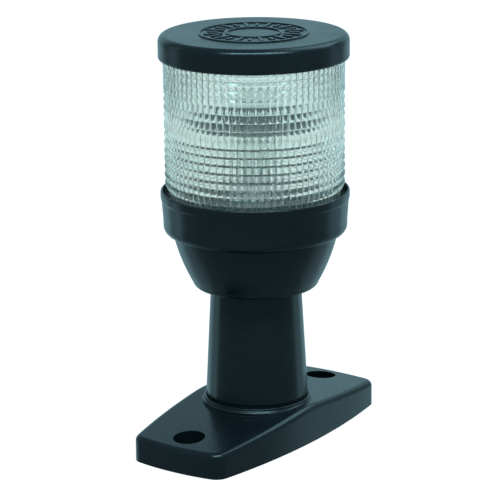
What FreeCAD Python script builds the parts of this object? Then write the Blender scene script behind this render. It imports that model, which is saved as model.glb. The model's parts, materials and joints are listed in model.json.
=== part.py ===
import FreeCAD, Part

import math
import os

from FreeCAD import Vector

# All-round navigation light for a small boat. Millimetres, +Z up.
# Origin: middle of the flange's underside, on the axis of the stem. +X runs along the flange.

# ---- driving dimensions -------------------------------------------------------------------
# mounting flange
FLANGE_LENGTH = 88.0
FLANGE_MIDDLE_WIDTH = 40.2
FLANGE_END_WIDTH = 31.8
FLANGE_END_BOW = 1.7
FLANGE_CORNER_RADIUS = 4.2
FLANGE_END_HEIGHT = 7.5
FLANGE_MIDDLE_HEIGHT = 11.6
FLANGE_WALL = 2.2
FLANGE_EDGE_RADIUS = 1.8
SCREW_SPACING = 71.0
SCREW_HOLE_RADIUS = 2.3
SCREW_HEAD_RADIUS = 4.8
SCREW_SEAT_HEIGHT = 4.0
GASKET_THICKNESS = 1.5
FLANGE_RIB_THICKNESS = 1.8
FLANGE_RIB_PLACES = (0.62, 0.84)
SCREW_BOSS_WALL = 1.6
RIDGE_ROUNDING = 60.0
CENTRE_PLATE_BOTTOM = 6.5
CENTRE_PLATE_TOP = 9.0
RING_RADIUS = 16.4
RING_TOP = 12.4
RING_GAP = 0.15
# small assembly screws
BOSS_RADIUS = 2.8
BOSS_DEPTH = 11.0
PILOT_RADIUS = 1.4
PILOT_DEPTH = 8.0
CLEARANCE_RADIUS = 1.6
ASSEMBLY_SCREW_LENGTH = 9.5
BRACKET_SCREW_LENGTH = 6.0
# stem
STEM_TOP = 47.3
STEM_TOP_RADIUS = 13.75
STEM_FOOT_RADIUS = 15.6
STEM_BORE_TOP_RADIUS = 10.6
STEM_BORE_FOOT_RADIUS = 11.8
STEM_NECK_TOP = 13.0
STEM_SCREW_OFFSET = 9.6
HOUSING_SCREW_OFFSET = 8.6
HOUSING_SCREW_ANGLES = (30, 150, 270)
SEAL_GROOVE = (11.4, 12.9, 1.2)
# lamp housing (the bowl)
BOWL_TOP = 63.6
BOWL_TOP_RADIUS = 24.9
BOWL_FOOT_RADIUS = 19.2
BOWL_WALL = 2.3
SPIGOT_RADIUS = 24.4
SPIGOT_BORE_RADIUS = 22.0
SPIGOT_TOP = 68.6
FLOOR_TOP = STEM_TOP + 2.5
GROMMET_RADIUS = 5.0
# locking collar
COLLAR_BOTTOM = 63.9
COLLAR_TOP = 77.2
COLLAR_LIP_RADIUS = 28.5
COLLAR_FOOT_RADIUS = 27.7
COLLAR_LIP_WALL = 0.7
COLLAR_RECESS = 4.0
LENS_SEAT = 70.6
SEAL_TOP = 69.6
LUG_COUNT = 3
LUG_ANGLE = 14.0
LOCK_TURN = 25.0
# lens
LENS_TOP = 120.4
RIB_TOP = 117.2
RIB_COUNT = 16
RIB_TIP_RADIUS = 27.1
RIB_BOTTOM = 77.9
LOWER_RIBS = (0.65, 0.12, 0.2)
MIDDLE_RIBS = (1.0, 0.12, 0.1)
TOP_RIBS = (0.45, 0.6, 0.1)
LENS_FOOT_RADIUS = 25.7
LENS_NECK_RADIUS = 26.1
LENS_BORE_RADIUS = 24.9
BELT_DEPTH = 2.1
BELT_REACH = 9.9
FLUTE_COUNT = 80
FLUTE_DEPTH = 0.3
# cap
CAP_RADIUS = 28.5
CAP_BOTTOM = 117.2
CAP_TOP = 124.6
CAP_CEILING = 121.8
SHIELD_RADIUS = 21.0
SHIELD_BOTTOM = 119.0
# bulb and socket
CONTACT_OFFSET = 3.5
CONTACT_BOTTOM = 71.5
PIN_HEIGHT = 78.0
PIN_RADIUS = 1.0
BULB_BASE_RADIUS = 7.6
BULB_BASE_TOP = 84.5
GLASS_RADIUS = 9.5
GLASS_CENTRE = 98.8
GLASS_WALL = 0.6
FILAMENT_HEIGHT = 97.0
BASE_FILL_TOP = 76.0
SUPPORT_OFFSET = 2.6
BEAD_TOP = 88.5
SOCKET_BOTTOM = 62.8
SOCKET_TOP = 80.0
SOCKET_RADIUS = 8.35
SOCKET_BORE_RADIUS = 7.75
SOCKET_FLANGE_RADIUS = 9.6
CARRIER_BOTTOM = 63.4
CARRIER_TOP = 66.0
PLUNGER_TAIL = 60.5
PLUNGER_COLLAR = 70.0
BRACKET_FEET = 54.0
BRACKET_SCREW_OFFSET = 14.2
SHEET = 0.8
# leads
LEAD_RADIUS = 1.1
LEAD_MIDDLE_OFFSET = 1.7
LEAD_TOP = 58.7
WIRE_RADIUS = 0.6
CONNECTOR_OFFSET = 4.5
CONNECTOR_TOP = 15.0
SLEEVE_RADIUS = 2.8
RUNNING_GAP = 0.05


# ---- helpers ------------------------------------------------------------------------------
def cylinder(radius, bottom, top, x=0.0, y=0.0):
    return Part.makeCylinder(radius, top - bottom, Vector(x, y, bottom))


def tube(radius, bore, bottom, top, x=0.0, y=0.0):
    return cylinder(radius, bottom, top, x, y).cut(cylinder(bore, bottom, top, x, y))


def box(x0, x1, y0, y1, z0, z1):
    return Part.makeBox(x1 - x0, y1 - y0, z1 - z0, Vector(x0, y0, z0))


def sector(inner, outer, bottom, top, start, end):
    """A block of a ring, from start to end degrees about the axis."""
    ring = Part.makeCylinder(outer, top - bottom, Vector(0, 0, bottom), Vector(0, 0, 1), end - start)
    ring = ring.cut(cylinder(inner, bottom, top))
    ring.rotate(Vector(0, 0, 0), Vector(0, 0, 1), start)
    return ring


def rounded_wire(corners, place):
    """Closed wire through corners (a, b, radius); each corner is rounded with its radius."""
    count = len(corners)
    starts = []
    ends = []
    mids = []
    for index, (a, b, radius) in enumerate(corners):
        before = corners[index - 1]
        after = corners[(index + 1) % count]
        here = Vector(a, b, 0)
        to_before = (Vector(before[0], before[1], 0) - here).normalize()
        to_after = (Vector(after[0], after[1], 0) - here).normalize()
        half = math.acos(max(-1.0, min(1.0, to_before.dot(to_after)))) / 2
        reach = radius / math.tan(half)
        bisector = (to_before + to_after)
        starts.append(here + to_before * reach)
        ends.append(here + to_after * reach)
        if radius > 0:
            bisector.normalize()
            mids.append(here + bisector * (radius / math.sin(half) - radius))
        else:
            mids.append(here)
    edges = []
    for index in range(count):
        following = (index + 1) % count
        if corners[index][2] > 0:
            arc = Part.Arc(place(starts[index]), place(mids[index]), place(ends[index]))
            edges.append(arc.toShape())
        if (ends[index] - starts[following]).Length > 1e-6:
            line = Part.LineSegment(place(ends[index]), place(starts[following]))
            edges.append(line.toShape())
    return Part.Wire(edges)


def turned(corners):
    """Solid of revolution about Z of a profile with corners (radius, height[, rounding])."""
    full = [corner if len(corner) == 3 else (corner[0], corner[1], 0.0) for corner in corners]
    wire = rounded_wire(full, lambda p: Vector(p.x, 0, p.y))
    return turned_wire(wire)


def turned_wire(wire):
    return Part.Face(wire).revolve(Vector(0, 0, 0), Vector(0, 0, 1), 360)


def side_profile(corners, half_depth):
    """Prism along Y of a profile with corners (x, z, rounding)."""
    wire = rounded_wire(corners, lambda p: Vector(p.x, -half_depth, p.y))
    return Part.Face(wire).extrude(Vector(0, 2 * half_depth, 0))


def chain(points):
    """Edges through points; a tuple of two points stands for an arc (middle, end)."""
    edges = []
    last = points[0]
    for step in points[1:]:
        if isinstance(step, tuple):
            edges.append(Part.Arc(last, step[0], step[1]).toShape())
            last = step[1]
        else:
            edges.append(Part.LineSegment(last, step).toShape())
            last = step
    return Part.Wire(edges)


def pan_screw(x, y, seat, length, head_radius=2.4, shank_radius=1.4, up=True):
    """Pan-head screw with a cross slot; it hangs down from its seat, or stands up from it."""
    head_height = 0.7 * head_radius
    head = turned([
        (0, 0), (head_radius, 0), (head_radius, head_height, 0.5 * head_radius), (0, head_height)])
    slot_depth = 0.55 * head_height
    for along_x in (True, False):
        half = (0.6 * head_radius, 0.18 * head_radius)
        if not along_x:
            half = (half[1], half[0])
        head = head.cut(box(-half[0], half[0], -half[1], half[1], head_height - slot_depth, head_height))
    shank = turned([
        (0, 0), (shank_radius, 0), (shank_radius, -length + shank_radius), (0, -length)])
    screw = head.fuse(shank).removeSplitter()
    if not up:
        screw.rotate(Vector(0, 0, 0), Vector(1, 0, 0), 180)
    screw.translate(Vector(x, y, seat))
    return screw


def export(name, solids):
    shape = solids[0] if len(solids) == 1 else Part.Compound(solids)
    shape.exportStep("parts/" + name + ".step")
    return shape


# ---- mounting flange ----------------------------------------------------------------------
def flange_outline(inset, bottom, top):
    """The boat-shaped plan outline, drawn in by inset: bowed sides, nearly flat bowed ends."""
    half_length = FLANGE_LENGTH / 2 - FLANGE_END_BOW - inset
    half_end = FLANGE_END_WIDTH / 2 - inset
    half_middle = FLANGE_MIDDLE_WIDTH / 2 - inset
    tip = FLANGE_LENGTH / 2 - inset
    left_back = Vector(-half_length, half_end, bottom)
    right_back = Vector(half_length, half_end, bottom)
    right_front = Vector(half_length, -half_end, bottom)
    left_front = Vector(-half_length, -half_end, bottom)
    wire = chain([
        left_back,
        (Vector(0, half_middle, bottom), right_back),
        (Vector(tip, 0, bottom), right_front),
        (Vector(0, -half_middle, bottom), left_front),
        (Vector(-tip, 0, bottom), left_back)])
    block = Part.Face(wire).extrude(Vector(0, 0, top - bottom))
    corners = []
    for edge in block.Edges:
        ends = [vertex.Point for vertex in edge.Vertexes]
        if len(ends) == 2 and abs(ends[0].x - ends[1].x) < 1e-6 and abs(ends[0].y - ends[1].y) < 1e-6:
            corners.append(edge)
    return block.makeFillet(FLANGE_CORNER_RADIUS - 0.5 * inset, corners)


def pitched_prism(drop):
    """Everything below the flange's top, which falls gently from the middle to both ends."""
    half = FLANGE_LENGTH / 2
    slope = math.atan2(FLANGE_MIDDLE_HEIGHT - FLANGE_END_HEIGHT, half)
    lift = RIDGE_ROUNDING * (1 / math.cos(slope) - 1)
    return side_profile([
        (-half, -1.0, 0), (half, -1.0, 0),
        (half, FLANGE_END_HEIGHT - drop, 0),
        (0, FLANGE_MIDDLE_HEIGHT + lift - drop, RIDGE_ROUNDING),
        (-half, FLANGE_END_HEIGHT - drop, 0)], FLANGE_MIDDLE_WIDTH)


def mounting_flange():
    body = flange_outline(0.0, 0.0, FLANGE_MIDDLE_HEIGHT + 1.0).common(pitched_prism(0.0))
    top_edges = []
    for edge in body.Edges:
        middle = edge.valueAt((edge.FirstParameter + edge.LastParameter) / 2)
        ends = [vertex.Point.z for vertex in edge.Vertexes]
        if min(ends + [middle.z]) > FLANGE_END_HEIGHT - 0.5:
            spans_width = abs(abs(edge.Vertexes[0].Point.y) - FLANGE_MIDDLE_WIDTH / 2) < 1.0
            across = spans_width and edge.BoundBox.YLength > FLANGE_END_WIDTH
            if not across:
                top_edges.append(edge)
    body = body.makeFillet(FLANGE_EDGE_RADIUS, top_edges)
    ring = turned([
        (0, CENTRE_PLATE_TOP), (RING_RADIUS + 0.6, CENTRE_PLATE_TOP),
        (RING_RADIUS + 0.6, FLANGE_MIDDLE_HEIGHT - 0.4), (RING_RADIUS, FLANGE_MIDDLE_HEIGHT + 0.2),
        (RING_RADIUS, RING_TOP, 0.35), (STEM_FOOT_RADIUS - RING_GAP, RING_TOP, 0.3),
        (STEM_FOOT_RADIUS - RING_GAP, RING_TOP - 1.0), (0, RING_TOP - 1.0)])
    body = body.fuse(ring)
    hollow = flange_outline(FLANGE_WALL, 0.0, FLANGE_MIDDLE_HEIGHT)
    hollow = hollow.common(pitched_prism(FLANGE_WALL))
    hollow = hollow.cut(cylinder(RING_RADIUS, CENTRE_PLATE_BOTTOM, FLANGE_MIDDLE_HEIGHT))
    boss_radius = SCREW_HEAD_RADIUS + SCREW_BOSS_WALL
    for side in (-1, 1):
        boss = cylinder(boss_radius, GASKET_THICKNESS, FLANGE_MIDDLE_HEIGHT, side * SCREW_SPACING / 2)
        hollow = hollow.cut(boss)
    rib_half = FLANGE_RIB_THICKNESS / 2
    ribs = []
    for side in (-1, 1):
        inner = RING_RADIUS - 2.0
        x0, x1 = sorted((side * inner, side * SCREW_SPACING / 2))
        ribs.append(box(x0, x1, -rib_half, rib_half, GASKET_THICKNESS, FLANGE_MIDDLE_HEIGHT))
        for share in FLANGE_RIB_PLACES:
            place = side * share * SCREW_SPACING / 2
            ribs.append(box(place - rib_half, place + rib_half, -FLANGE_MIDDLE_WIDTH / 2,
                            FLANGE_MIDDLE_WIDTH / 2, GASKET_THICKNESS, FLANGE_MIDDLE_HEIGHT))
    for rib in ribs:
        hollow = hollow.cut(rib)
    body = body.cut(hollow)
    body = body.cut(cylinder(STEM_FOOT_RADIUS - RING_GAP, CENTRE_PLATE_TOP, RING_TOP + 1.0))
    for side in (-1, 1):
        x = side * SCREW_SPACING / 2
        body = body.cut(cylinder(SCREW_HOLE_RADIUS, -1.0, RING_TOP, x))
        body = body.cut(cylinder(SCREW_HEAD_RADIUS, SCREW_SEAT_HEIGHT, RING_TOP, x))
        body = body.cut(cylinder(SLEEVE_RADIUS, 0.0, RING_TOP, side * CONNECTOR_OFFSET))
        body = body.cut(cylinder(CLEARANCE_RADIUS, 0.0, RING_TOP, 0, side * STEM_SCREW_OFFSET))
    return body.removeSplitter()


def base_gasket():
    pad = flange_outline(FLANGE_WALL + 0.1, 0.0, GASKET_THICKNESS)
    pad = pad.cut(cylinder(RING_RADIUS - 3.0, 0.0, GASKET_THICKNESS))
    for side in (-1, 1):
        pad = pad.cut(cylinder(SCREW_HOLE_RADIUS, 0.0, GASKET_THICKNESS, side * SCREW_SPACING / 2))
    return pad


# ---- stem ---------------------------------------------------------------------------------
def stem():
    foot = STEM_FOOT_RADIUS - 0.2
    body = turned([
        (0, CENTRE_PLATE_TOP), (foot, CENTRE_PLATE_TOP), (foot, STEM_NECK_TOP - 0.35),
        (STEM_FOOT_RADIUS, STEM_NECK_TOP + 0.5, 0.6),
        (STEM_TOP_RADIUS, STEM_TOP), (0, STEM_TOP)])
    bore = turned([
        (0, CENTRE_PLATE_TOP), (STEM_BORE_FOOT_RADIUS, CENTRE_PLATE_TOP),
        (STEM_BORE_TOP_RADIUS, STEM_TOP), (0, STEM_TOP)])
    for angle in HOUSING_SCREW_ANGLES:
        x, y = spot(HOUSING_SCREW_OFFSET, angle)
        bore = bore.cut(cylinder(BOSS_RADIUS, STEM_TOP - BOSS_DEPTH, STEM_TOP, x, y))
    for side in (-1, 1):
        y = side * STEM_SCREW_OFFSET
        bore = bore.cut(cylinder(BOSS_RADIUS - 0.2, CENTRE_PLATE_TOP, CENTRE_PLATE_TOP + BOSS_DEPTH, 0, y))
    body = body.cut(bore)
    inner, outer, depth = SEAL_GROOVE
    body = body.cut(tube(outer, inner, STEM_TOP - depth, STEM_TOP))
    for angle in HOUSING_SCREW_ANGLES:
        x, y = spot(HOUSING_SCREW_OFFSET, angle)
        body = body.cut(cylinder(PILOT_RADIUS, STEM_TOP - PILOT_DEPTH, STEM_TOP, x, y))
    for side in (-1, 1):
        y = side * STEM_SCREW_OFFSET
        body = body.cut(cylinder(PILOT_RADIUS, CENTRE_PLATE_TOP, CENTRE_PLATE_TOP + PILOT_DEPTH, 0, y))
    return body.removeSplitter()


def spot(radius, angle):
    return radius * math.cos(math.radians(angle)), radius * math.sin(math.radians(angle))


def stem_seal():
    inner, outer, depth = SEAL_GROOVE
    return tube(outer, inner, STEM_TOP - depth, STEM_TOP)


def stem_screws():
    return [pan_screw(0, side * STEM_SCREW_OFFSET, CENTRE_PLATE_BOTTOM, ASSEMBLY_SCREW_LENGTH, up=False)
            for side in (-1, 1)]


# ---- lamp housing -------------------------------------------------------------------------
def bowl_edge(radius_change, z_change):
    """The bowl's side, from its foot to its top, moved in by the given amounts."""
    foot = Vector(BOWL_FOOT_RADIUS - radius_change, 0, STEM_TOP + 1.2 + z_change)
    middle_z = (STEM_TOP + BOWL_TOP) / 2
    middle = (BOWL_FOOT_RADIUS + BOWL_TOP_RADIUS) / 2 + 0.3
    belly = Vector(middle - radius_change, 0, middle_z)
    top = Vector(BOWL_TOP_RADIUS - radius_change, 0, BOWL_TOP)
    return foot, belly, top


def lamp_housing():
    foot, belly, top = bowl_edge(0.0, 0.3)
    corner = 1.5
    outside = chain([
        Vector(0, 0, STEM_TOP), Vector(foot.x - corner, 0, STEM_TOP),
        (Vector(foot.x - 0.33 * corner, 0, STEM_TOP + 0.38 * corner), foot),
        (belly, top),
        Vector(SPIGOT_RADIUS, 0, BOWL_TOP), Vector(SPIGOT_RADIUS, 0, SPIGOT_TOP),
        Vector(0, 0, SPIGOT_TOP), Vector(0, 0, STEM_TOP)])
    body = turned_wire(outside)
    foot, belly, top = bowl_edge(BOWL_WALL, 2.6)
    inside = chain([
        Vector(0, 0, FLOOR_TOP), Vector(foot.x - 0.8, 0, FLOOR_TOP), foot, (belly, top),
        Vector(SPIGOT_BORE_RADIUS, 0, BOWL_TOP + 1.0), Vector(SPIGOT_BORE_RADIUS, 0, SPIGOT_TOP + 1.0),
        Vector(0, 0, SPIGOT_TOP + 1.0), Vector(0, 0, FLOOR_TOP)])
    hollow = turned_wire(inside)
    for side in (-1, 1):
        hollow = hollow.cut(cylinder(BOSS_RADIUS, FLOOR_TOP, BRACKET_FEET, side * BRACKET_SCREW_OFFSET))
    body = body.cut(hollow)
    body = body.cut(cylinder(GROMMET_RADIUS, STEM_TOP, FLOOR_TOP))
    for side in (-1, 1):
        body = body.cut(cylinder(PILOT_RADIUS, BRACKET_FEET - BRACKET_SCREW_LENGTH + 0.5, BRACKET_FEET,
                                 side * BRACKET_SCREW_OFFSET))
    for angle in HOUSING_SCREW_ANGLES:
        x, y = spot(HOUSING_SCREW_OFFSET, angle)
        body = body.cut(cylinder(CLEARANCE_RADIUS, STEM_TOP, FLOOR_TOP, x, y))
    for index in range(LUG_COUNT):
        body = body.cut(lock_slot(index * 360 / LUG_COUNT))
    return body.removeSplitter()


def lock_slot(angle):
    """L-shaped bayonet groove in the spigot: an upright way in, then a level leg to lock."""
    half = LUG_ANGLE / 2 + 2.0
    depth_radius = SPIGOT_RADIUS - 1.4
    outer = SPIGOT_RADIUS + 1.0
    way_in = sector(depth_radius, outer, BOWL_TOP + 0.8, SPIGOT_TOP, angle - half, angle + half)
    leg = sector(depth_radius, outer, BOWL_TOP + 0.8, BOWL_TOP + 3.4, angle - half - LOCK_TURN, angle)
    return way_in.fuse(leg)


def housing_screws():
    return [pan_screw(*spot(HOUSING_SCREW_OFFSET, angle), FLOOR_TOP, ASSEMBLY_SCREW_LENGTH)
            for angle in HOUSING_SCREW_ANGLES]


def lead_grommet():
    flange = GROMMET_RADIUS + 0.9
    body = turned([
        (0, STEM_TOP - 1.2), (flange, STEM_TOP - 1.2, 0.4), (flange, STEM_TOP),
        (GROMMET_RADIUS, STEM_TOP), (GROMMET_RADIUS, FLOOR_TOP), (flange, FLOOR_TOP),
        (flange, FLOOR_TOP + 1.2, 0.4), (0, FLOOR_TOP + 1.2)])
    for side in (-1, 1):
        body = body.cut(cylinder(LEAD_RADIUS + 0.15, STEM_TOP - 2.0, FLOOR_TOP + 2.0,
                                 side * LEAD_MIDDLE_OFFSET))
    for angle in HOUSING_SCREW_ANGLES:
        x, y = spot(HOUSING_SCREW_OFFSET, angle)
        body = body.cut(cylinder(2.9, STEM_TOP - 2.0, FLOOR_TOP + 2.0, x, y))
    return body


def globe_seal():
    return tube(SPIGOT_RADIUS - 0.1, SPIGOT_BORE_RADIUS + 0.1, SPIGOT_TOP, SEAL_TOP)


# ---- globe: collar, lens and cap ----------------------------------------------------------
def locking_collar():
    bore = SPIGOT_RADIUS + 0.25
    body = turned([
        (bore, COLLAR_BOTTOM), (COLLAR_FOOT_RADIUS, COLLAR_BOTTOM, 2.4),
        (COLLAR_FOOT_RADIUS + 0.1, COLLAR_BOTTOM + 4.5, 12.0),
        (COLLAR_LIP_RADIUS - 0.25, COLLAR_TOP - 3.0),
        (COLLAR_LIP_RADIUS, COLLAR_TOP - 2.2, 0.5),
        (COLLAR_LIP_RADIUS, COLLAR_TOP, 0.5),
        (COLLAR_LIP_RADIUS - COLLAR_LIP_WALL, COLLAR_TOP, 0.2),
        (COLLAR_LIP_RADIUS - COLLAR_LIP_WALL, COLLAR_TOP - COLLAR_RECESS, 0.4),
        (LENS_FOOT_RADIUS, COLLAR_TOP - COLLAR_RECESS),
        (LENS_FOOT_RADIUS, LENS_SEAT), (SPIGOT_BORE_RADIUS + 1.2, LENS_SEAT),
        (SPIGOT_BORE_RADIUS + 1.2, SEAL_TOP), (bore, SEAL_TOP)])
    for index in range(LUG_COUNT):
        middle = index * 360 / LUG_COUNT
        lug = sector(SPIGOT_RADIUS - 1.2, bore + 0.5, BOWL_TOP + 1.1, BOWL_TOP + 3.1,
                     middle - LUG_ANGLE / 2, middle + LUG_ANGLE / 2)
        body = body.fuse(lug)
    return body.removeSplitter()


def fluted_outline(inset, height):
    """Outline of the lens's inside at one height: rounded flutes stand inwards all round."""
    step = 360.0 / FLUTE_COUNT
    radius = LENS_BORE_RADIUS - inset
    points = [Vector(*spot(radius, 0), height)]
    for index in range(FLUTE_COUNT):
        crest = Vector(*spot(radius - FLUTE_DEPTH, (index + 0.5) * step), height)
        end = Vector(*spot(radius, (index + 1) % FLUTE_COUNT * step), height)
        points.append((crest, end))
    return chain(points)


def lens_inside():
    """The fluted bore, drawn in to a thicker belt round the lens's middle."""
    middle = (RIB_BOTTOM + RIB_TOP) / 2
    return Part.makeLoft([
        fluted_outline(0.0, LENS_SEAT), fluted_outline(0.0, middle - BELT_REACH),
        fluted_outline(BELT_DEPTH, middle), fluted_outline(0.0, middle + BELT_REACH),
        fluted_outline(0.0, LENS_TOP)], True, True)


def rib_points(index):
    """One prism rib: (depth, upright share, groove share of the pitch) set its shape. Ribs above the
    middle lean inwards going up, those below lean inwards going down."""
    pitch = (RIB_TOP - RIB_BOTTOM) / RIB_COUNT
    bottom = RIB_BOTTOM + index * pitch
    if index < RIB_COUNT // 2:
        depth, land, groove = LOWER_RIBS
        tip = bottom + (1 - groove) * pitch
        return [
            Vector(RIB_TIP_RADIUS - depth, 0, bottom), Vector(RIB_TIP_RADIUS, 0, tip - land * pitch),
            Vector(RIB_TIP_RADIUS, 0, tip)]
    depth, land, groove = MIDDLE_RIBS if index < 3 * RIB_COUNT // 4 else TOP_RIBS
    tip = bottom + groove * pitch
    return [
        Vector(RIB_TIP_RADIUS, 0, tip), Vector(RIB_TIP_RADIUS, 0, tip + land * pitch),
        Vector(RIB_TIP_RADIUS - depth, 0, bottom + pitch)]


def lens():
    points = [
        Vector(0, 0, LENS_SEAT), Vector(LENS_FOOT_RADIUS, 0, LENS_SEAT),
        Vector(LENS_FOOT_RADIUS, 0, RIB_BOTTOM)]
    for index in range(RIB_COUNT):
        points += rib_points(index)
    points += [
        Vector(LENS_NECK_RADIUS, 0, RIB_TOP), Vector(LENS_NECK_RADIUS, 0, LENS_TOP),
        Vector(0, 0, LENS_TOP), Vector(0, 0, LENS_SEAT)]
    return turned_wire(chain(points)).cut(lens_inside())


def cap_relief():
    """A ring of raised bars and a plain centre ring on the cap's top, purely decorative."""
    height = 0.35
    top = CAP_TOP + height
    pieces = [tube(16.6, 15.9, CAP_TOP - 0.2, top), tube(8.4, 7.7, CAP_TOP - 0.2, top)]
    bars = 24
    for index in range(bars):
        length = (9.4, 15.0) if index % 2 else (10.6, 13.8)
        bar = box(length[0], length[1], -0.45, 0.45, CAP_TOP - 0.2, top)
        bar.rotate(Vector(0, 0, 0), Vector(0, 0, 1), index * 360 / bars)
        pieces.append(bar)
    return pieces


def top_cap():
    skirt = LENS_NECK_RADIUS
    body = turned([
        (skirt, CAP_BOTTOM), (CAP_RADIUS, CAP_BOTTOM, 0.8), (CAP_RADIUS, CAP_TOP, 2.2),
        (0, CAP_TOP), (0, SHIELD_BOTTOM + 0.5), (3.0, SHIELD_BOTTOM + 0.5), (3.0, CAP_CEILING),
        (skirt, CAP_CEILING)])
    for piece in cap_relief():
        body = body.fuse(piece)
    body = body.cut(cylinder(1.2, SHIELD_BOTTOM, SHIELD_BOTTOM + 3.4))
    return body.removeSplitter()


def cap_seal():
    return tube(LENS_NECK_RADIUS, LENS_BORE_RADIUS - FLUTE_DEPTH, LENS_TOP, CAP_CEILING)


def heat_shield():
    disc = turned([
        (1.2, SHIELD_BOTTOM), (SHIELD_RADIUS - 1.5, SHIELD_BOTTOM), (SHIELD_RADIUS, SHIELD_BOTTOM - 1.2),
        (SHIELD_RADIUS + 0.4, SHIELD_BOTTOM - 0.9), (SHIELD_RADIUS - 1.3, SHIELD_BOTTOM + 0.5),
        (1.2, SHIELD_BOTTOM + 0.5)])
    return disc


def shield_rivet():
    return turned([
        (0, SHIELD_BOTTOM - 0.7), (2.4, SHIELD_BOTTOM - 0.7, 0.5), (2.4, SHIELD_BOTTOM),
        (1.2, SHIELD_BOTTOM), (1.2, SHIELD_BOTTOM + 3.2), (0, SHIELD_BOTTOM + 3.2)])


# ---- bulb ---------------------------------------------------------------------------------
def bulb_base():
    wall = 0.4
    shell = turned([
        (BULB_BASE_RADIUS - 1.2, CONTACT_BOTTOM + 0.8), (BULB_BASE_RADIUS, CONTACT_BOTTOM + 1.6),
        (BULB_BASE_RADIUS, BULB_BASE_TOP), (BULB_BASE_RADIUS - wall, BULB_BASE_TOP),
        (BULB_BASE_RADIUS - wall, CONTACT_BOTTOM + 1.9),
        (BULB_BASE_RADIUS - 1.2 - wall, CONTACT_BOTTOM + 1.1)])
    for side in (-1, 1):
        start = Vector(0, side * (BULB_BASE_RADIUS - wall), PIN_HEIGHT)
        pin = Part.makeCylinder(PIN_RADIUS, 1.3 + wall, start, Vector(0, side, 0))
        shell = shell.fuse(pin.cut(cylinder(BULB_BASE_RADIUS - wall, PIN_HEIGHT - 2, PIN_HEIGHT + 2)))
    return shell.removeSplitter()


def bulb_insulator():
    wall = 0.4
    body = turned([
        (0, CONTACT_BOTTOM + 0.5), (BULB_BASE_RADIUS - 2.0, CONTACT_BOTTOM + 0.5),
        (BULB_BASE_RADIUS - 1.2 - wall, CONTACT_BOTTOM + 1.1),
        (BULB_BASE_RADIUS - wall, CONTACT_BOTTOM + 1.9), (BULB_BASE_RADIUS - wall, BASE_FILL_TOP),
        (0, BASE_FILL_TOP)])
    for side in (-1, 1):
        body = body.cut(cylinder(0.9, CONTACT_BOTTOM, BASE_FILL_TOP - 1.0, side * CONTACT_OFFSET))
    return body


def bulb_contacts():
    buttons = []
    for side in (-1, 1):
        button = turned([
            (0, CONTACT_BOTTOM), (1.6, CONTACT_BOTTOM, 0.2), (1.6, CONTACT_BOTTOM + 0.5),
            (0.9, CONTACT_BOTTOM + 0.5), (0.9, BASE_FILL_TOP - 1.0), (0, BASE_FILL_TOP - 1.0)])
        button.translate(Vector(side * CONTACT_OFFSET, 0, 0))
        buttons.append(button)
    return buttons


def bulb_envelope():
    neck = BULB_BASE_RADIUS - 0.4

    def skin(neck_radius, globe_radius, bottom):
        joint = GLASS_CENTRE - 7.2
        side = math.sqrt(globe_radius ** 2 - 7.2 ** 2)
        return chain([
            Vector(0, 0, bottom), Vector(neck_radius, 0, bottom), Vector(neck_radius, 0, BULB_BASE_TOP),
            (Vector(neck_radius - 0.5, 0, (BULB_BASE_TOP + joint) / 2), Vector(side, 0, joint)),
            (Vector(globe_radius, 0, GLASS_CENTRE), Vector(0, 0, GLASS_CENTRE + globe_radius)),
            Vector(0, 0, bottom)])

    outside = turned_wire(skin(neck, GLASS_RADIUS, BASE_FILL_TOP))
    inside = turned_wire(skin(neck - GLASS_WALL, GLASS_RADIUS - GLASS_WALL, BASE_FILL_TOP))
    return outside.cut(inside)


def bulb_stem():
    flare = BULB_BASE_RADIUS - 0.4 - GLASS_WALL
    body = turned([
        (0, BASE_FILL_TOP), (flare, BASE_FILL_TOP), (flare, BASE_FILL_TOP + 1.0),
        (2.2, BASE_FILL_TOP + 4.0, 2.0), (1.6, BEAD_TOP - 3.0), (0, BEAD_TOP - 3.0)])
    press = box(-SUPPORT_OFFSET - 1.0, SUPPORT_OFFSET + 1.0, -1.2, 1.2, BEAD_TOP - 4.5, BEAD_TOP)
    body = body.fuse(press.makeFillet(0.9, press.Edges))
    for side in (-1, 1):
        body = body.cut(cylinder(0.3, BEAD_TOP - 2.5, BEAD_TOP, side * SUPPORT_OFFSET))
    return body.removeSplitter()


def filament_supports():
    wires = []
    for side in (-1, 1):
        x = side * SUPPORT_OFFSET
        upright = cylinder(0.3, BEAD_TOP - 2.5, FILAMENT_HEIGHT, x)
        ball = Part.makeSphere(0.3, Vector(x, 0, FILAMENT_HEIGHT))
        wires.append(upright.fuse(ball).removeSplitter())
    return wires


def filament():
    length = 2 * (SUPPORT_OFFSET - 0.3)
    start = Vector(-SUPPORT_OFFSET + 0.3, 0, FILAMENT_HEIGHT)
    return Part.makeCylinder(0.5, length, start, Vector(1, 0, 0))


# ---- socket -------------------------------------------------------------------------------
def socket_shell():
    body = turned([
        (SOCKET_BORE_RADIUS, SOCKET_BOTTOM), (SOCKET_FLANGE_RADIUS, SOCKET_BOTTOM),
        (SOCKET_FLANGE_RADIUS, CARRIER_BOTTOM),
        (SOCKET_RADIUS, CARRIER_BOTTOM + 0.5, 0.3), (SOCKET_RADIUS, SOCKET_TOP),
        (SOCKET_BORE_RADIUS, SOCKET_TOP)])
    slot_half = PIN_RADIUS + 0.2
    swing = math.degrees(slot_half / SOCKET_RADIUS)
    for angle in (90, 270):
        way_in = sector(6.0, 10.0, PIN_HEIGHT - slot_half, SOCKET_TOP + 1.0, angle - swing, angle + swing)
        leg = sector(6.0, 10.0, PIN_HEIGHT - slot_half, PIN_HEIGHT + slot_half,
                     angle - 20 - swing, angle)
        body = body.cut(way_in).cut(leg)
    return body.removeSplitter()


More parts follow.
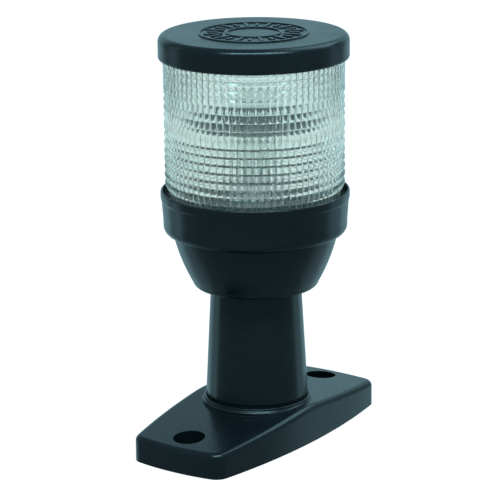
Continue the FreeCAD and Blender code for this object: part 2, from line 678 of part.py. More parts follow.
def contact_carrier():
    body = turned([
        (0, SOCKET_BOTTOM), (SOCKET_BORE_RADIUS, SOCKET_BOTTOM), (SOCKET_BORE_RADIUS, CARRIER_TOP, 0.3),
        (0, CARRIER_TOP)])
    for side in (-1, 1):
        body = body.cut(cylinder(1.2 + RUNNING_GAP, SOCKET_BOTTOM, CARRIER_TOP, side * CONTACT_OFFSET))
    return body


def contact_plunger(side):
    body = turned([
        (0, PLUNGER_TAIL), (1.2, PLUNGER_TAIL), (1.2, PLUNGER_COLLAR), (2.2, PLUNGER_COLLAR),
        (2.2, PLUNGER_COLLAR + 0.6), (1.3, PLUNGER_COLLAR + 0.6), (1.3, CONTACT_BOTTOM, 0.6),
        (0, CONTACT_BOTTOM)])
    body = body.cut(cylinder(WIRE_RADIUS + 0.1, PLUNGER_TAIL, PLUNGER_TAIL + 3.5))
    body.translate(Vector(side * CONTACT_OFFSET, 0, 0))
    return body


def plunger_spring(side):
    return tube(2.0, 1.4, CARRIER_TOP, PLUNGER_COLLAR, side * CONTACT_OFFSET)


def socket_bracket():
    top = SOCKET_BOTTOM
    half_depth = 5.0
    leg_x = 10.6
    foot_x = BRACKET_SCREW_OFFSET + 2.6
    inner_x = leg_x - SHEET
    foot_top = BRACKET_FEET + SHEET
    profile = [
        (-foot_x, BRACKET_FEET, 0), (-inner_x, BRACKET_FEET, 0.4), (-inner_x, top - SHEET, 0.4),
        (inner_x, top - SHEET, 0.4), (inner_x, BRACKET_FEET, 0.4), (foot_x, BRACKET_FEET, 0),
        (foot_x, foot_top, 0), (leg_x, foot_top, 0.4), (leg_x, top, 0.6),
        (-leg_x, top, 0.6), (-leg_x, foot_top, 0.4), (-foot_x, foot_top, 0)]
    body = side_profile(profile, half_depth)
    pad = cylinder(SOCKET_FLANGE_RADIUS, top - SHEET, top)
    body = body.fuse(pad)
    body = body.cut(cylinder(6.4, top - 2.0, top + 1.0))
    for side in (-1, 1):
        body = body.cut(cylinder(CLEARANCE_RADIUS, BRACKET_FEET - 1.0, BRACKET_FEET + 2.0,
                                 side * BRACKET_SCREW_OFFSET))
    return body.removeSplitter()


def bracket_screws():
    return [pan_screw(side * BRACKET_SCREW_OFFSET, 0, BRACKET_FEET + SHEET, BRACKET_SCREW_LENGTH, 2.3)
            for side in (-1, 1)]


# ---- leads --------------------------------------------------------------------------------
def lead_route(side):
    """Points of a lead from the plunger's tail down to its connector, in the XZ plane."""
    offsets = [
        (CONTACT_OFFSET, LEAD_TOP), (CONTACT_OFFSET, 55.4), (LEAD_MIDDLE_OFFSET, 51.6),
        (LEAD_MIDDLE_OFFSET, 43.4), (3.9, 31.0), (CONNECTOR_OFFSET, 22.0),
        (CONNECTOR_OFFSET, CONNECTOR_TOP)]
    return [Vector(side * x, 0, z) for x, z in offsets]


def lead_path(points):
    """Straight runs joined by tangent arcs that are as large as the runs allow."""
    edges = []
    last = points[0]
    for index in range(1, len(points) - 1):
        here = points[index]
        back = points[index - 1] - here
        on = points[index + 1] - here
        reach = 0.45 * min(back.Length, on.Length)
        half_turn = (math.pi - back.getAngle(on)) / 2
        radius = reach / math.tan(half_turn)
        start = here + back.normalize() * reach
        end = here + on.normalize() * reach
        bisector = (back + on).normalize()
        middle = here + bisector * (radius / math.cos(half_turn) - radius)
        edges.append(Part.LineSegment(last, start).toShape())
        edges.append(Part.Arc(start, middle, end).toShape())
        last = end
    edges.append(Part.LineSegment(last, points[-1]).toShape())
    return Part.Wire(edges)


def lead(side):
    points = lead_route(side)
    path = lead_path(points)
    circle = Part.makeCircle(LEAD_RADIUS, points[0], Vector(0, 0, -1))
    body = path.makePipeShell([Part.Wire([circle])], True, True)
    wire = cylinder(WIRE_RADIUS, LEAD_TOP, PLUNGER_TAIL + 1.5, side * CONTACT_OFFSET)
    return body.fuse(wire).removeSplitter()


def lead_connectors():
    barrels = []
    for side in (-1, 1):
        x = side * CONNECTOR_OFFSET
        barrel = cylinder(1.9, CENTRE_PLATE_BOTTOM + 0.5, CONNECTOR_TOP, x)
        barrels.append(barrel.cut(cylinder(1.25, CENTRE_PLATE_BOTTOM, CONNECTOR_TOP - 2.0, x)))
    return barrels


def connector_sleeves():
    sleeves = []
    for side in (-1, 1):
        x = side * CONNECTOR_OFFSET
        collar = cylinder(SLEEVE_RADIUS + 0.7, CENTRE_PLATE_TOP, CENTRE_PLATE_TOP + 1.0, x)
        body = cylinder(SLEEVE_RADIUS, CENTRE_PLATE_BOTTOM, CONNECTOR_TOP + 2.0, x).fuse(collar)
        body = body.cut(cylinder(1.9, CENTRE_PLATE_BOTTOM, CONNECTOR_TOP, x))
        body = body.cut(cylinder(LEAD_RADIUS, CONNECTOR_TOP, CONNECTOR_TOP + 3.0, x))
        sleeves.append(body.removeSplitter())
    return sleeves


# ---- all sub-parts ------------------------------------------------------------------------
os.makedirs("parts", exist_ok=True)
export("mounting_flange", [mounting_flange()])
export("base_gasket", [base_gasket()])
export("stem", [stem()])
export("stem_seal", [stem_seal()])
export("stem_screws", stem_screws())
export("lamp_housing", [lamp_housing()])
export("housing_screws", housing_screws())
export("lead_grommet", [lead_grommet()])
export("globe_seal", [globe_seal()])
export("locking_collar", [locking_collar()])
export("lens", [lens()])
export("top_cap", [top_cap()])
export("cap_seal", [cap_seal()])
export("heat_shield", [heat_shield()])
export("shield_rivet", [shield_rivet()])
export("bulb_base", [bulb_base()])
export("bulb_insulator", [bulb_insulator()])
export("bulb_contacts", bulb_contacts())
export("bulb_envelope", [bulb_envelope()])
export("bulb_stem", [bulb_stem()])
export("filament_supports", filament_supports())
export("filament", [filament()])
export("socket_shell", [socket_shell()])
export("contact_carrier", [contact_carrier()])
export("socket_bracket", [socket_bracket()])
export("bracket_screws", bracket_screws())
export("lead_connectors", lead_connectors())
export("connector_sleeves", connector_sleeves())
for side, pole in ((1, "positive"), (-1, "negative")):
    export("contact_plunger_" + pole, [contact_plunger(side)])
    export("plunger_spring_" + pole, [plunger_spring(side)])
    export("lead_" + pole, [lead(side)])
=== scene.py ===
import json
import math

import bmesh
import bpy
from mathutils import Matrix, Vector


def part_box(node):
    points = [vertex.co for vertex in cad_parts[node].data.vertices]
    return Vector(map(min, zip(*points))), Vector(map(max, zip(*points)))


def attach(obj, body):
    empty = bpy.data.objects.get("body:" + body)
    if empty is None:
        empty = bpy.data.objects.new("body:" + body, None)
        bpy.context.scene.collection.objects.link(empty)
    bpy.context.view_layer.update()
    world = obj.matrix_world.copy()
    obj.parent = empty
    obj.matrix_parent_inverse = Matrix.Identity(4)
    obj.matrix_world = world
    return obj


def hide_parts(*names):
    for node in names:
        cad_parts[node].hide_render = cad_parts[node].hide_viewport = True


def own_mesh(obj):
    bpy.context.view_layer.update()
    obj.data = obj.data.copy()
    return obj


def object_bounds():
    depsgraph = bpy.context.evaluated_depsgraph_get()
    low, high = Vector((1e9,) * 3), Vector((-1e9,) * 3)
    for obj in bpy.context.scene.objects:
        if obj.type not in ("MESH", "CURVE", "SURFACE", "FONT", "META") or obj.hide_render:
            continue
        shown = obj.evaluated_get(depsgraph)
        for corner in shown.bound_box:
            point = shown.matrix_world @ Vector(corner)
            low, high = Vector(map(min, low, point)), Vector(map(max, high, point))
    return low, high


# Looks of the all-round navigation light: materials for every CAD part, detailed pieces for the lens,
# springs, filament and screws, a pale floor, soft lights and the camera. Metres, in the CAD frame.

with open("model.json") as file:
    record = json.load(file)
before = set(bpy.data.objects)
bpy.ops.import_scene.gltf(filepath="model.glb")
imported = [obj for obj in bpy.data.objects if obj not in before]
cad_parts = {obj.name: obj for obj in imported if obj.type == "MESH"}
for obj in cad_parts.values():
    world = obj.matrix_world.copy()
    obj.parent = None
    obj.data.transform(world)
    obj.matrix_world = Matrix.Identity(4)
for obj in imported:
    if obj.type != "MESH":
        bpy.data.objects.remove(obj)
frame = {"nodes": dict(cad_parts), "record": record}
CAD_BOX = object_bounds()

MM = 0.001
WHITE = (1.0, 1.0, 1.0, 1.0)
SHARP_ANGLE = math.radians(30)

# ---- camera and studio --------------------------------------------------------------------
CAMERA_AZIMUTH = math.radians(-55.04)
CAMERA_REACH = 0.721
CAMERA_HEIGHT = 0.2564
CAMERA_DIP = 0.2687
CAMERA_PAN = 0.0024
CAMERA_ROLL = -0.0107
CAMERA_LENS = 177.6
SENSOR_WIDTH = 36.0
FLOOR_RADIUS = 4.0
FLOOR_SIDES = 128
FLOOR_GLOW = 0.9
LIGHT_BOUNCES = 32
SKY = (0.5, 0.88, 1.0)
SKY_STRENGTH = 0.25
# azimuth round from the camera and elevation in degrees; distance, width and height in metres; watts
LAMPS = {
    "backdrop": (180, -4, 1.6, 3.0, 2.2, 8.5),
    "overhead": (125, 50, 1.2, 0.8, 0.8, 4),
    "left_strip": (-110, 5, 1.1, 0.3, 1.2, 0.4),
    "right_strip": (110, 5, 1.1, 0.3, 1.2, 0.3),
    "low_left": (-125, -30, 1.2, 0.8, 0.8, 0.6),
    "low_right": (125, -30, 1.2, 0.8, 0.8, 0.6),
    "front_top": (5, 60, 0.6, 0.6, 0.1, 2.4),
}

# ---- surfaces -----------------------------------------------------------------------------
# the stretch of noise values over which flecks appear and gloss changes
FLECK_RANGE = (0.45, 0.75)
GLOSS_RANGE = (0.35, 0.65)
CLEAR_GLOSS_RANGE = (0.4, 0.7)
# edge band painted lighter: wear, and on the black plastic a painted highlight along the rims
WEAR_AND_HIGHLIGHT_EDGE = 0.35 * MM
WEAR_AND_HIGHLIGHT_GAIN = 6.0
SOFT_EDGE = 0.15 * MM
BEVEL_SAMPLES = 4

# ---- lens ---------------------------------------------------------------------------------
RIB_COUNT = 16
FLUTE_COUNT = 80
STEPS_PER_FLUTE = 6
RIB_BOTTOM = 77.9 * MM
RIB_TOP = 117.2 * MM
RIB_TIP = 27.1 * MM
LOWER_RIB_DEPTH = 0.65 * MM
MIDDLE_RIB_DEPTH = 1.0 * MM
TOP_RIB_DEPTH = 0.45 * MM
LOWER_LAND = 0.12
MIDDLE_LAND = 0.12
TOP_LAND = 0.6
LOWER_GROOVE = 0.2
UPPER_GROOVE = 0.1
MIDDLE_RIBS_END = 3 * RIB_COUNT // 4
LENS_FOOT = 25.7 * MM
LENS_NECK = 26.1 * MM
FLUTE_DEPTH = 0.25 * MM
LENS_BORE = 24.9 * MM
BELT_DEPTH = 2.1 * MM
BELT_REACH = 9.9 * MM
BORE_STEPS = 40
# the mould's two parting lines: one down the middle of the side that the camera sees, one opposite
SEAM_DEPTH = 0.12 * MM
SEAM_ANGLES = (CAMERA_AZIMUTH + 0.5 * math.pi, CAMERA_AZIMUTH + 1.5 * math.pi)

# ---- screws -------------------------------------------------------------------------------
SHANK_RADIUS = 1.38 * MM
THREAD_WIRE = 0.15 * MM
THREAD_PITCH = 0.7 * MM
SCREW_POINT = 0.9 * MM
SCREW_NECK = 2.2 * MM
WELD = 0.001 * MM

# ---- springs and filament -----------------------------------------------------------------
SPRING_RADIUS = 1.7 * MM
SPRING_WIRE = 0.28 * MM
SPRING_TURNS = 4.5
SPRING_CLOSED_TURNS = 0.75
FILAMENT_RADIUS = 0.38 * MM
FILAMENT_WIRE = 0.09 * MM
FILAMENT_TURNS = 14
STEPS_PER_TURN = 28
WIRE_SIDES = 10


# ---- node helpers -------------------------------------------------------------------------
def add(tree, kind, inputs=None, **properties):
    """A new shader node; an input given as a socket is linked, any other value is set."""
    node = tree.nodes.new("ShaderNode" + kind)
    for name, value in properties.items():
        setattr(node, name, value)
    for key, value in (inputs or {}).items():
        if isinstance(value, bpy.types.NodeSocket):
            tree.links.new(value, node.inputs[key])
        else:
            node.inputs[key].default_value = value
    return node


def new_tree(name):
    """A new material's emptied node tree, and the material."""
    material = bpy.data.materials.new(name)
    material.use_nodes = True
    material.node_tree.nodes.clear()
    return material, material.node_tree


def grain(tree, scale, detail=3.0, stretch=(1.0, 1.0, 1.0)):
    """Noise from 0 to 1 in the object's own space; scale is repeats per metre."""
    place = add(tree, "TexCoord").outputs["Object"]
    place = add(tree, "Mapping", {"Vector": place, "Scale": stretch}).outputs["Vector"]
    return add(tree, "TexNoise", {"Vector": place, "Scale": scale, "Detail": detail}).outputs["Fac"]


def spread(tree, value, low, high, start=0.3, end=0.7):
    """Value taken from the range start..end to the range low..high."""
    inputs = {"Value": value, "From Min": start, "From Max": end, "To Min": low, "To Max": high}
    return add(tree, "MapRange", inputs, clamp=True).outputs["Result"]


def blend(tree, share, first, second):
    """Colour from first to second as share goes from 0 to 1."""
    return add(tree, "Mix", {0: share, 6: first, 7: second}, data_type="RGBA").outputs[2]


def math_node(tree, operation, first, second=0.0):
    """The result of one sum on two values."""
    return add(tree, "Math", {0: first, 1: second}, operation=operation).outputs[0]


def edge_mask(tree, radius, gain):
    """Near 1 along outer and inner edges, 0 on open surface."""
    rounded = add(tree, "Bevel", {"Radius": radius}, samples=BEVEL_SAMPLES).outputs["Normal"]
    plain = add(tree, "NewGeometry").outputs["Normal"]
    same = add(tree, "VectorMath", {0: rounded, 1: plain}, operation="DOT_PRODUCT").outputs["Value"]
    away = math_node(tree, "SUBTRACT", 1.0, same)
    return spread(tree, math_node(tree, "MULTIPLY", away, gain), 0.0, 1.0, 0.0, 1.0)


def rgb(red, green, blue):
    """An opaque colour."""
    return (red, green, blue, 1.0)


def finish_material(name, look):
    """A Principled material with mottled colour, uneven gloss, bump and lighter edges: wear, and on the
    black plastic also a painted highlight along the rims.
    """
    material, tree = new_tree(name)
    broad = grain(tree, look["patch"], 2.0)
    fine = grain(tree, look["grain"], 4.0, look.get("stretch", (1.0, 1.0, 1.0)))
    colour = blend(tree, spread(tree, broad, 0.0, 1.0), look["dark"], look["light"])
    flecks = spread(tree, fine, 0.0, look.get("speckle", 0.3), *FLECK_RANGE)
    colour = blend(tree, flecks, colour, look["fleck"])
    # lighter colour painted along the edges: wear, and on the black plastic a painted highlight along the
    # rims
    wear_and_highlight = edge_mask(tree, WEAR_AND_HIGHLIGHT_EDGE, WEAR_AND_HIGHLIGHT_GAIN)
    wear_and_highlight = math_node(tree, "MULTIPLY", wear_and_highlight, spread(tree, broad, 0.2, look.get("wear_and_highlight_strength", 0.5)))
    colour = blend(tree, wear_and_highlight, colour, look["wear_and_highlight"])
    low, high = look["roughness"]
    mixed = math_node(tree, "ADD", math_node(tree, "MULTIPLY", broad, 0.5),
                      math_node(tree, "MULTIPLY", fine, 0.5))
    rough = spread(tree, mixed, low, high, *GLOSS_RANGE)
    soft_edge = add(tree, "Bevel", {"Radius": SOFT_EDGE}, samples=BEVEL_SAMPLES).outputs["Normal"]
    bump = add(tree, "Bump", {"Strength": look.get("bump", 0.25), "Distance": look.get("depth", 0.1 * MM),
                              "Height": fine, "Normal": soft_edge}).outputs["Normal"]
    shader = add(tree, "BsdfPrincipled", {
        "Base Color": colour, "Roughness": rough, "Metallic": look.get("metallic", 0.0),
        "IOR": 1.5, "Normal": bump})
    add(tree, "OutputMaterial", {"Surface": shader.outputs[0]})
    return material


# ---- materials ----------------------------------------------------------------------------
def black_plastic():
    return finish_material("black_plastic", {
        "dark": rgb(0.006, 0.009, 0.011), "light": rgb(0.009, 0.014, 0.017),
        # the teal edge colour here is mostly a painted highlight along the rims, with some wear
        "fleck": rgb(0.014, 0.022, 0.026), "wear_and_highlight": rgb(0.06, 0.09, 0.1),
        "patch": 60.0, "grain": 1400.0, "speckle": 0.5, "roughness": (0.18, 0.3),
        "bump": 0.22, "depth": 0.1 * MM, "wear_and_highlight_strength": 0.4})


def rubber():
    return finish_material("rubber", {
        "dark": rgb(0.012, 0.012, 0.013), "light": rgb(0.022, 0.022, 0.023),
        "fleck": rgb(0.05, 0.05, 0.05), "wear_and_highlight": rgb(0.06, 0.06, 0.058),
        "patch": 150.0, "grain": 2500.0, "roughness": (0.6, 0.8), "bump": 0.2})


def gasket_foam():
    return finish_material("gasket_foam", {
        "dark": rgb(0.02, 0.02, 0.022), "light": rgb(0.045, 0.045, 0.048),
        "fleck": rgb(0.004, 0.004, 0.004), "wear_and_highlight": rgb(0.08, 0.08, 0.08),
        "patch": 200.0, "grain": 1800.0, "speckle": 0.9, "roughness": (0.85, 0.98),
        "bump": 0.8, "depth": 0.4 * MM})


def metal(name, dark, light, wear_and_highlight, roughness, stretch=(1.0, 1.0, 1.0), patch=120.0):
    return finish_material(name, {
        "dark": dark, "light": light, "fleck": light, "wear_and_highlight": wear_and_highlight, "patch": patch, "grain": 2600.0,
        "roughness": roughness, "metallic": 1.0, "bump": 0.12, "depth": 0.05 * MM, "stretch": stretch})


def screw_steel():
    return metal("screw_steel", rgb(0.42, 0.42, 0.41), rgb(0.62, 0.62, 0.60), rgb(0.8, 0.8, 0.78),
                 (0.22, 0.38))


def bracket_steel():
    return metal("bracket_steel", rgb(0.40, 0.42, 0.42), rgb(0.58, 0.60, 0.60), rgb(0.75, 0.75, 0.74),
                 (0.3, 0.5), (0.15, 1.0, 1.0))


def nickel():
    return metal("nickel", rgb(0.46, 0.49, 0.48), rgb(0.62, 0.66, 0.65), rgb(0.78, 0.81, 0.80),
                 (0.16, 0.32))


def brass():
    return metal("brass", rgb(0.50, 0.36, 0.13), rgb(0.72, 0.55, 0.25), rgb(0.86, 0.72, 0.42),
                 (0.22, 0.4))


def solder():
    return metal("solder", rgb(0.42, 0.43, 0.44), rgb(0.62, 0.63, 0.64), rgb(0.7, 0.7, 0.7),
                 (0.3, 0.5), patch=500.0)


def tungsten():
    return metal("tungsten", rgb(0.16, 0.155, 0.15), rgb(0.30, 0.29, 0.28), rgb(0.4, 0.4, 0.4),
                 (0.35, 0.5))


def spring_steel():
    return metal("spring_steel", rgb(0.36, 0.36, 0.38), rgb(0.54, 0.54, 0.56), rgb(0.7, 0.7, 0.7),
                 (0.2, 0.35))


def shield_aluminium():
    return metal("shield_aluminium", rgb(0.62, 0.63, 0.64), rgb(0.80, 0.81, 0.82), rgb(0.9, 0.9, 0.9),
                 (0.25, 0.42))


def phenolic():
    return finish_material("phenolic", {
        "dark": rgb(0.11, 0.045, 0.018), "light": rgb(0.22, 0.10, 0.045),
        "fleck": rgb(0.32, 0.17, 0.08), "wear_and_highlight": rgb(0.36, 0.20, 0.10),
        "patch": 250.0, "grain": 1500.0, "roughness": (0.45, 0.62), "stretch": (1.0, 0.2, 1.0)})


def black_glass():
    return finish_material("black_glass", {
        "dark": rgb(0.006, 0.006, 0.010), "light": rgb(0.014, 0.014, 0.022),
        "fleck": rgb(0.03, 0.03, 0.04), "wear_and_highlight": rgb(0.05, 0.05, 0.06),
        "patch": 300.0, "grain": 900.0, "roughness": (0.08, 0.2), "bump": 0.1})


def nylon():
    return finish_material("nylon", {
        "dark": rgb(0.62, 0.58, 0.48), "light": rgb(0.76, 0.73, 0.64),
        "fleck": rgb(0.82, 0.80, 0.72), "wear_and_highlight": rgb(0.85, 0.83, 0.77),
        "patch": 200.0, "grain": 1500.0, "roughness": (0.3, 0.45), "bump": 0.12})


def wire_cover(name, dark, light):
    return finish_material(name, {
        "dark": dark, "light": light, "fleck": light, "wear_and_highlight": light,
        "patch": 120.0, "grain": 2200.0, "roughness": (0.32, 0.48), "bump": 0.15,
        "stretch": (1.0, 1.0, 0.2)})


def red_pvc():
    return wire_cover("red_pvc", rgb(0.36, 0.014, 0.010), rgb(0.55, 0.03, 0.02))


def black_pvc():
    return wire_cover("black_pvc", rgb(0.012, 0.012, 0.012), rgb(0.028, 0.028, 0.028))


def clear(name, light, dark, roughness, ior, haze):
    """Clear moulded plastic or glass; lamps shine straight through it."""
    material, tree = new_tree(name)
    broad = grain(tree, 45.0, 2.0)
    fine = grain(tree, 700.0, 3.0)
    tint = blend(tree, spread(tree, broad, 0.0, 1.0), light, dark)
    rough = spread(tree, fine, *roughness, *CLEAR_GLOSS_RANGE)
    bump = add(tree, "Bump", {"Strength": 0.08, "Distance": 0.02 * MM, "Height": broad}).outputs["Normal"]
    glass = add(tree, "BsdfGlass", {"Color": tint, "Roughness": rough, "IOR": ior, "Normal": bump})
    lets_light_by = add(tree, "BsdfTransparent", {"Color": light})
    film = add(tree, "BsdfTranslucent", {"Color": light})
    milky = add(tree, "MixShader", {0: haze, 1: glass.outputs[0], 2: film.outputs[0]})
    path = add(tree, "LightPath")
    shader = add(tree, "MixShader", {
        0: path.outputs["Is Shadow Ray"], 1: milky.outputs[0], 2: lets_light_by.outputs[0]})
    add(tree, "OutputMaterial", {"Surface": shader.outputs[0]})
    return material


def lens_plastic():
    return clear("lens_plastic", rgb(0.907, 0.952, 0.94), rgb(0.898, 0.944, 0.931),
                 (0.02, 0.08), ior=1.49, haze=0.08)


def bulb_glass():
    return clear("bulb_glass", rgb(0.95, 0.97, 0.96), rgb(0.90, 0.93, 0.92),
                 (0.0, 0.03), ior=1.5, haze=0.0)


MATERIALS = {
    make.__name__: make() for make in (
        black_plastic, rubber, gasket_foam, screw_steel, bracket_steel, nickel, brass, solder, tungsten,
        spring_steel, shield_aluminium, phenolic, black_glass, nylon, red_pvc, black_pvc, lens_plastic,
        bulb_glass)
}
SLOTS = {part["node"]: part["material_slot"] for part in frame["record"]["subparts"]}


def dress_cad_nodes():
    """Gives each CAD node the material of its slot in the record."""
    for name, node in frame["nodes"].items():
        node.data.materials.clear()
        node.data.materials.append(MATERIALS[SLOTS[name]])


# ---- mesh helpers -------------------------------------------------------------------------
def new_piece(name, mesh, body, slot, *replaced):
    """A smooth piece that rides on a body and stands for the CAD nodes it replaces."""
    piece = bpy.data.objects.new(name, mesh)
    bpy.context.scene.collection.objects.link(piece)
    mesh.materials.append(MATERIALS[slot])
    for face in mesh.polygons:
        face.use_smooth = True
    mesh.set_sharp_from_angle(angle=SHARP_ANGLE)
    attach(piece, body)
    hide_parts(*replaced)
    return piece


def finished_mesh(name, build):
    """A mesh made by build, with its faces turned outwards."""
    mesh = bpy.data.meshes.new(name)
    builder = bmesh.new()
    build(builder)
    bmesh.ops.recalc_face_normals(builder, faces=builder.faces)
    builder.to_mesh(mesh)
    builder.free()
    return mesh


def loop_grid(builder, rings, closed=True):
    """Joins neighbouring rings of the same number of points with quads; closed joins the last ring to
    the first, otherwise both ends are capped."""
    rows = [[builder.verts.new(point) for point in ring] for ring in rings]
    count = len(rows[0])
    if not closed:
        builder.faces.new(rows[0])
        builder.faces.new(rows[-1])
    for lower, upper in zip(rows, rows[1:] + rows[:1] if closed else rows[1:]):
        for index in range(count):
            following = (index + 1) % count
            builder.faces.new((lower[index], lower[following], upper[following], upper[index]))


def upper_rib_shape(index):
    """Depth of a rib above the middle and the share of its height that is upright: the four nearest the
    middle are steep prisms, the top four are mostly upright with narrow grooves between them."""
    if index < MIDDLE_RIBS_END:
        return MIDDLE_RIB_DEPTH, MIDDLE_LAND
    return TOP_RIB_DEPTH, TOP_LAND


def lens_outside():
    """(radius, height) along the ribbed outside, from bottom to top. Ribs above the middle lean inwards
    going up, those below lean inwards going down."""
    low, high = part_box("lens")
    pitch = (RIB_TOP - RIB_BOTTOM) / RIB_COUNT
    points = [(LENS_FOOT, low.z), (LENS_FOOT, RIB_BOTTOM)]
    for index in range(RIB_COUNT):
        bottom = RIB_BOTTOM + index * pitch
        if index < RIB_COUNT // 2:
            tip = bottom + (1.0 - LOWER_GROOVE) * pitch
            points += [(RIB_TIP - LOWER_RIB_DEPTH, bottom), (RIB_TIP, tip - LOWER_LAND * pitch),
                       (RIB_TIP, tip)]
        else:
            depth, land = upper_rib_shape(index)
            tip = bottom + UPPER_GROOVE * pitch
            points += [(RIB_TIP, tip), (RIB_TIP, tip + land * pitch), (RIB_TIP - depth, bottom + pitch)]
    points += [(LENS_NECK, RIB_TOP), (LENS_NECK, high.z)]
    return points


def nearest_step(angle, count):
    """The one of count equal steps round a circle that lies nearest an angle."""
    return round(angle / (2 * math.pi) * count) % count


def bore_radius(angle, height):
    """Radius of the lens's inside: upright flutes, drawn in by a belt round the ribs' middle."""
    middle = (RIB_BOTTOM + RIB_TOP) / 2
    belt = BELT_DEPTH * max(0.0, 1.0 - abs(height - middle) / BELT_REACH)
    share = (angle * FLUTE_COUNT / (2 * math.pi)) % 1.0
    return LENS_BORE - belt - FLUTE_DEPTH * (1.0 - (2.0 * share - 1.0) ** 2)


def lens_mesh():
    """Prism ribs outside with two upright parting lines, upright flutes and a thicker belt inside."""
    low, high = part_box("lens")
    count = FLUTE_COUNT * STEPS_PER_FLUTE
    angles = [2 * math.pi * index / count for index in range(count)]
    seams = [nearest_step(angle, count) for angle in SEAM_ANGLES]
    rings = []
    for radius, height in lens_outside():
        ring = []
        for index, angle in enumerate(angles):
            reach = radius - SEAM_DEPTH if index in seams else radius
            ring.append((reach * math.cos(angle), reach * math.sin(angle), height))
        rings.append(ring)
    for step in range(BORE_STEPS + 1):
        height = high.z + (low.z - high.z) * step / BORE_STEPS
        ring = []
        for angle in angles:
            reach = bore_radius(angle, height)
            ring.append((reach * math.cos(angle), reach * math.sin(angle), height))
        rings.append(ring)
    return finished_mesh("lens_clear", lambda builder: loop_grid(builder, rings))


# ---- springs and filament -----------------------------------------------------------------
def coil_mesh(name, centre_line, wire):
    """A round wire along a centre line given as points."""
    rings = []
    for index, point in enumerate(centre_line):
        before = centre_line[max(index - 1, 0)]
        after = centre_line[min(index + 1, len(centre_line) - 1)]
        along = (after - before).normalized()
        side = along.cross(Vector((0, 0, 1)) if abs(along.z) < 0.9 else Vector((0, 1, 0))).normalized()
        up = side.cross(along)
        corners = [2 * math.pi * corner / WIRE_SIDES for corner in range(WIRE_SIDES)]
        rings.append([point + wire * (side * math.cos(a) + up * math.sin(a)) for a in corners])
    return finished_mesh(name, lambda builder: loop_grid(builder, rings, closed=False))


def plunger_spring(pole):
    """A coil spring with closed ends between the contact carrier and the plunger's collar."""
    low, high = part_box("plunger_spring_" + pole)
    x = (low.x + high.x) / 2
    bottom = low.z + SPRING_WIRE
    rise = high.z - low.z - 2 * SPRING_WIRE
    count = round(SPRING_TURNS * STEPS_PER_TURN)
    line = []
    for step in range(count + 1):
        turn = step / STEPS_PER_TURN
        share = (turn - SPRING_CLOSED_TURNS) / (SPRING_TURNS - 2 * SPRING_CLOSED_TURNS)
        angle = 2 * math.pi * turn
        height = bottom + rise * min(1.0, max(0.0, share))
        line.append(Vector((x + SPRING_RADIUS * math.cos(angle), SPRING_RADIUS * math.sin(angle), height)))
    mesh = coil_mesh("coil_spring_" + pole, line, SPRING_WIRE)
    spring = new_piece("coil_spring_" + pole, mesh, "base", "spring_steel", "plunger_spring_" + pole)
    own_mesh(spring)


def filament():
    """A fine coil between the two support wires, running straight across."""
    low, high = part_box("filament")
    middle = (low + high) / 2
    line = []
    for step in range(FILAMENT_TURNS * STEPS_PER_TURN + 1):
        share = step / (FILAMENT_TURNS * STEPS_PER_TURN)
        angle = 2 * math.pi * step / STEPS_PER_TURN
        x = low.x + (high.x - low.x) * share
        line.append(Vector((x, middle.y + FILAMENT_RADIUS * math.cos(angle),
                            middle.z + FILAMENT_RADIUS * math.sin(angle))))
    mesh = coil_mesh("coiled_filament", line, FILAMENT_WIRE)
    new_piece("coiled_filament", mesh, "bulb", "tungsten", "filament")


# ---- screws -------------------------------------------------------------------------------
def islands(builder):
    """The separate solids of a mesh, each as its list of vertices."""
    left = set(builder.verts)
    found = []
    while left:
        reached = [left.pop()]
        for vertex in reached:
            for edge in vertex.link_edges:
                other = edge.other_vert(vertex)
                if other in left:
                    left.remove(other)
                    reached.append(other)
        found.append(reached)
    return found


def thread_line(vertices):
    """Centre line of the thread on one upright screw: a helix round its shank, clear of its head."""
    low = min(vertex.co.z for vertex in vertices)
    high = max(vertex.co.z for vertex in vertices)
    x = sum(vertex.co.x for vertex in vertices) / len(vertices)
    y = sum(vertex.co.y for vertex in vertices) / len(vertices)
    widest = max(vertices, key=lambda vertex: math.hypot(vertex.co.x - x, vertex.co.y - y))
    if widest.co.z > (low + high) / 2:
        start, end = low + SCREW_POINT, widest.co.z - SCREW_NECK
    else:
        start, end = high - SCREW_POINT, widest.co.z + SCREW_NECK
    turns = abs(end - start) / THREAD_PITCH
    line = []
    for step in range(round(turns * STEPS_PER_TURN) + 1):
        angle = 2 * math.pi * step / STEPS_PER_TURN
        height = start + (end - start) * step / (turns * STEPS_PER_TURN)
        line.append(Vector((x + SHANK_RADIUS * math.cos(angle), y + SHANK_RADIUS * math.sin(angle), height)))
    return line


def threaded_screws(node_name):
    """The node's screws with a thread wound round each shank."""
    node = frame["nodes"][node_name]
    mesh = bpy.data.meshes.new(node_name + "_threaded")
    builder = bmesh.new()
    builder.from_mesh(node.data)
    builder.transform(node.matrix_world)
    bmesh.ops.remove_doubles(builder, verts=builder.verts, dist=WELD)
    for vertices in islands(builder):
        thread = coil_mesh("thread", thread_line(vertices), THREAD_WIRE)
        builder.from_mesh(thread)
    builder.to_mesh(mesh)
    builder.free()
    new_piece(node_name + "_threaded", mesh, "base", "screw_steel", node_name)


# ---- studio -------------------------------------------------------------------------------
def camera():
    """The camera stands at the viewing angle and looks just beside the light's middle."""
    data = bpy.data.cameras.new("camera")
    data.lens = CAMERA_LENS
    data.sensor_width = SENSOR_WIDTH
    view = bpy.data.objects.new("camera", data)
    bpy.context.scene.collection.objects.link(view)
    heading = Matrix.Rotation(CAMERA_AZIMUTH + CAMERA_PAN, 3, "Z")
    dip = Matrix.Rotation(math.pi / 2 - CAMERA_DIP, 3, "X")
    roll = Matrix.Rotation(CAMERA_ROLL, 3, "Z")
    view.matrix_world = (heading @ dip @ roll).to_4x4()
    view.location = Matrix.Rotation(CAMERA_AZIMUTH, 3, "Z") @ Vector((0, -CAMERA_REACH, 0))
    view.location.z = CAMERA_HEIGHT
    bpy.context.scene.camera = view


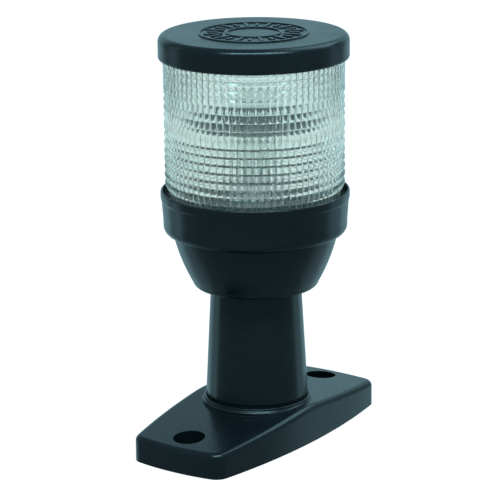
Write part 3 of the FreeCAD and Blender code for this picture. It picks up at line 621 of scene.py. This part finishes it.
def floor():
    """A wide pale disc that the light stands on. It is seen, but throws no light back at the part."""
    mesh = bpy.data.meshes.new("floor")
    builder = bmesh.new()
    bmesh.ops.create_circle(builder, cap_ends=True, radius=FLOOR_RADIUS, segments=FLOOR_SIDES)
    builder.to_mesh(mesh)
    builder.free()
    disc = bpy.data.objects.new("floor", mesh)
    bpy.context.scene.collection.objects.link(disc)
    material, tree = new_tree("pale_floor")
    tone = blend(tree, grain(tree, 3.0, 2.0), rgb(0.30, 0.28, 0.27), rgb(0.34, 0.32, 0.31))
    shader = add(tree, "BsdfPrincipled", {
        "Base Color": tone, "Roughness": 0.9, "Emission Color": WHITE, "Emission Strength": FLOOR_GLOW})
    add(tree, "OutputMaterial", {"Surface": shader.outputs[0]})
    mesh.materials.append(material)
    disc.visible_diffuse = False
    disc.visible_glossy = False
    disc.visible_shadow = False


def studio_world():
    """White all round where it is seen directly or through the lens, dimmer as a light."""
    world = bpy.data.worlds.new("studio")
    bpy.context.scene.world = world
    world.use_nodes = True
    tree = world.node_tree
    tree.nodes.clear()
    path = add(tree, "LightPath")
    seen = math_node(tree, "MAXIMUM", path.outputs["Is Camera Ray"], path.outputs["Is Transmission Ray"])
    around = add(tree, "Background", {"Color": rgb(*SKY), "Strength": SKY_STRENGTH})
    backdrop = add(tree, "Background", {"Color": WHITE, "Strength": 1.0})
    both = add(tree, "MixShader", {0: seen, 1: around.outputs[0], 2: backdrop.outputs[0]})
    add(tree, "OutputWorld", {"Surface": both.outputs[0]})


def softbox(name, azimuth, elevation, distance, width, height, power):
    """A sky-coloured area light, aimed at the middle of the part."""
    data = bpy.data.lights.new(name, "AREA")
    data.shape = "RECTANGLE"
    data.size = width
    data.size_y = height
    data.energy = power
    data.color = SKY
    lamp = bpy.data.objects.new(name, data)
    lamp.visible_camera = False
    lamp.visible_transmission = False
    bpy.context.scene.collection.objects.link(lamp)
    a = CAMERA_AZIMUTH + math.radians(azimuth)
    e = math.radians(elevation)
    back = Vector((math.sin(a) * math.cos(e), -math.cos(a) * math.cos(e), math.sin(e)))
    middle = Vector((0, 0, (CAD_BOX[0].z + CAD_BOX[1].z) / 2))
    lamp.location = middle + back * distance
    lamp.rotation_euler = back.to_track_quat("Z", "Y").to_euler()


def studio():
    """Camera, floor, surroundings and lamps; enough light bounces to see right through the lens."""
    bpy.context.scene.view_settings.view_transform = "Standard"
    bpy.context.scene.cycles.max_bounces = LIGHT_BOUNCES
    bpy.context.scene.cycles.transmission_bounces = LIGHT_BOUNCES
    bpy.context.scene.cycles.glossy_bounces = LIGHT_BOUNCES // 2
    camera()
    floor()
    studio_world()
    for name, setting in LAMPS.items():
        softbox(name, *setting)


# ---- the light ----------------------------------------------------------------------------
studio()
dress_cad_nodes()
new_piece("lens_clear", lens_mesh(), "globe", "lens_plastic", "lens")
plunger_spring("positive")
plunger_spring("negative")
filament()
for screws in ("stem_screws", "housing_screws", "bracket_screws"):
    threaded_screws(screws)
